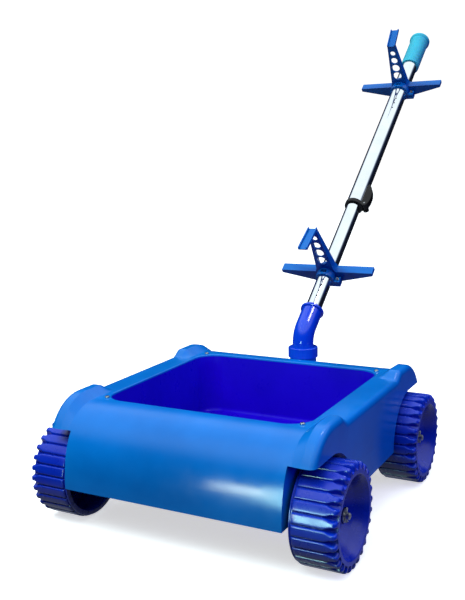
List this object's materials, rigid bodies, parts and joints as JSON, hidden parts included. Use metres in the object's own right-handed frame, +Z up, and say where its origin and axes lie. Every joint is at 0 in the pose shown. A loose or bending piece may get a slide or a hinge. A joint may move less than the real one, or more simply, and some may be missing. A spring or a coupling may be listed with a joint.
{
  "type": "pool cleaner caddy",
  "caption": "Wheeled tub cart for a robotic pool cleaner: blue open tub on ribbed wheels, leaning telescopic chrome pole with cable holders and a soft grip.",
  "frame": {"origin": "bottom centre of the whole object, on the ground", "axes": "+Z up; +Y rearwards, the way the pole leans; +X to the right seen from the front"},
  "size_m": [0.612, 1.5342, 1.0295],
  "materials": {
    "shell": "injection moulded blue plastic, smooth and glossy",
    "tub": "moulded deep blue plastic, semi-gloss",
    "wheel": "moulded blue plastic, glossy, fine mould grain",
    "holder": "moulded dark blue plastic, satin",
    "elbow": "moulded blue plastic, glossy",
    "tube": "polished chromed steel tube",
    "axle": "zinc plated steel",
    "black": "black nylon, satin",
    "grip": "turquoise soft rubber, matt with a fine grain"
  },
  "bodies": {
    "cart": {"axle_bushes": "black", "axle_washers": "axle", "body_shell": "shell", "elbow_screw": "axle", "front_axle": "axle", "guide_bush": "black", "lower_cable_holder": "holder", "lower_holder_bolt": "axle", "lower_holder_nut": "axle", "lower_tube": "tube", "pole_elbow": "elbow", "pole_socket": "elbow", "rear_axle": "axle", "socket_screw": "axle", "split_pins": "axle", "tub": "tub", "tub_screws": "axle"},
    "upper_pole": {"upper_tube": "tube", "lock_ferrule": "black", "lever_pin": "axle", "grip": "grip", "upper_cable_holder": "holder", "upper_holder_bolt": "axle", "upper_holder_nut": "axle"},
    "lock_lever": {"lock_lever": "black"},
    "front_left_wheel": {"front_left_wheel": "wheel"},
    "front_right_wheel": {"front_right_wheel": "wheel"},
    "rear_left_wheel": {"rear_left_wheel": "wheel"},
    "rear_right_wheel": {"rear_right_wheel": "wheel"}
  },
  "joints": [
    {"name": "front_left_wheel_spin", "type": "hinge", "parent": "cart", "child": "front_left_wheel", "pos_m": [-0.265, -0.66808, 0.092], "axis": [1, 0, 0], "continuous": true},
    {"name": "front_right_wheel_spin", "type": "hinge", "parent": "cart", "child": "front_right_wheel", "pos_m": [0.265, -0.66808, 0.092], "axis": [1, 0, 0], "continuous": true},
    {"name": "rear_left_wheel_spin", "type": "hinge", "parent": "cart", "child": "rear_left_wheel", "pos_m": [-0.265, -0.23408, 0.092], "axis": [1, 0, 0], "continuous": true},
    {"name": "rear_right_wheel_spin", "type": "hinge", "parent": "cart", "child": "rear_right_wheel", "pos_m": [0.265, -0.23408, 0.092], "axis": [1, 0, 0], "continuous": true},
    {"name": "pole_telescope", "type": "slide", "parent": "cart", "child": "upper_pole", "axis": [0, 0.7826, 0.6225], "range_m": [-0.19, 0.12]},
    {"name": "lock_lever_flip", "type": "hinge", "parent": "upper_pole", "child": "lock_lever", "pos_m": [0.0305, 0.1658, 0.54287], "axis": [0, 0.6225, -0.7826], "range_deg": [0, 105]}
  ]
}
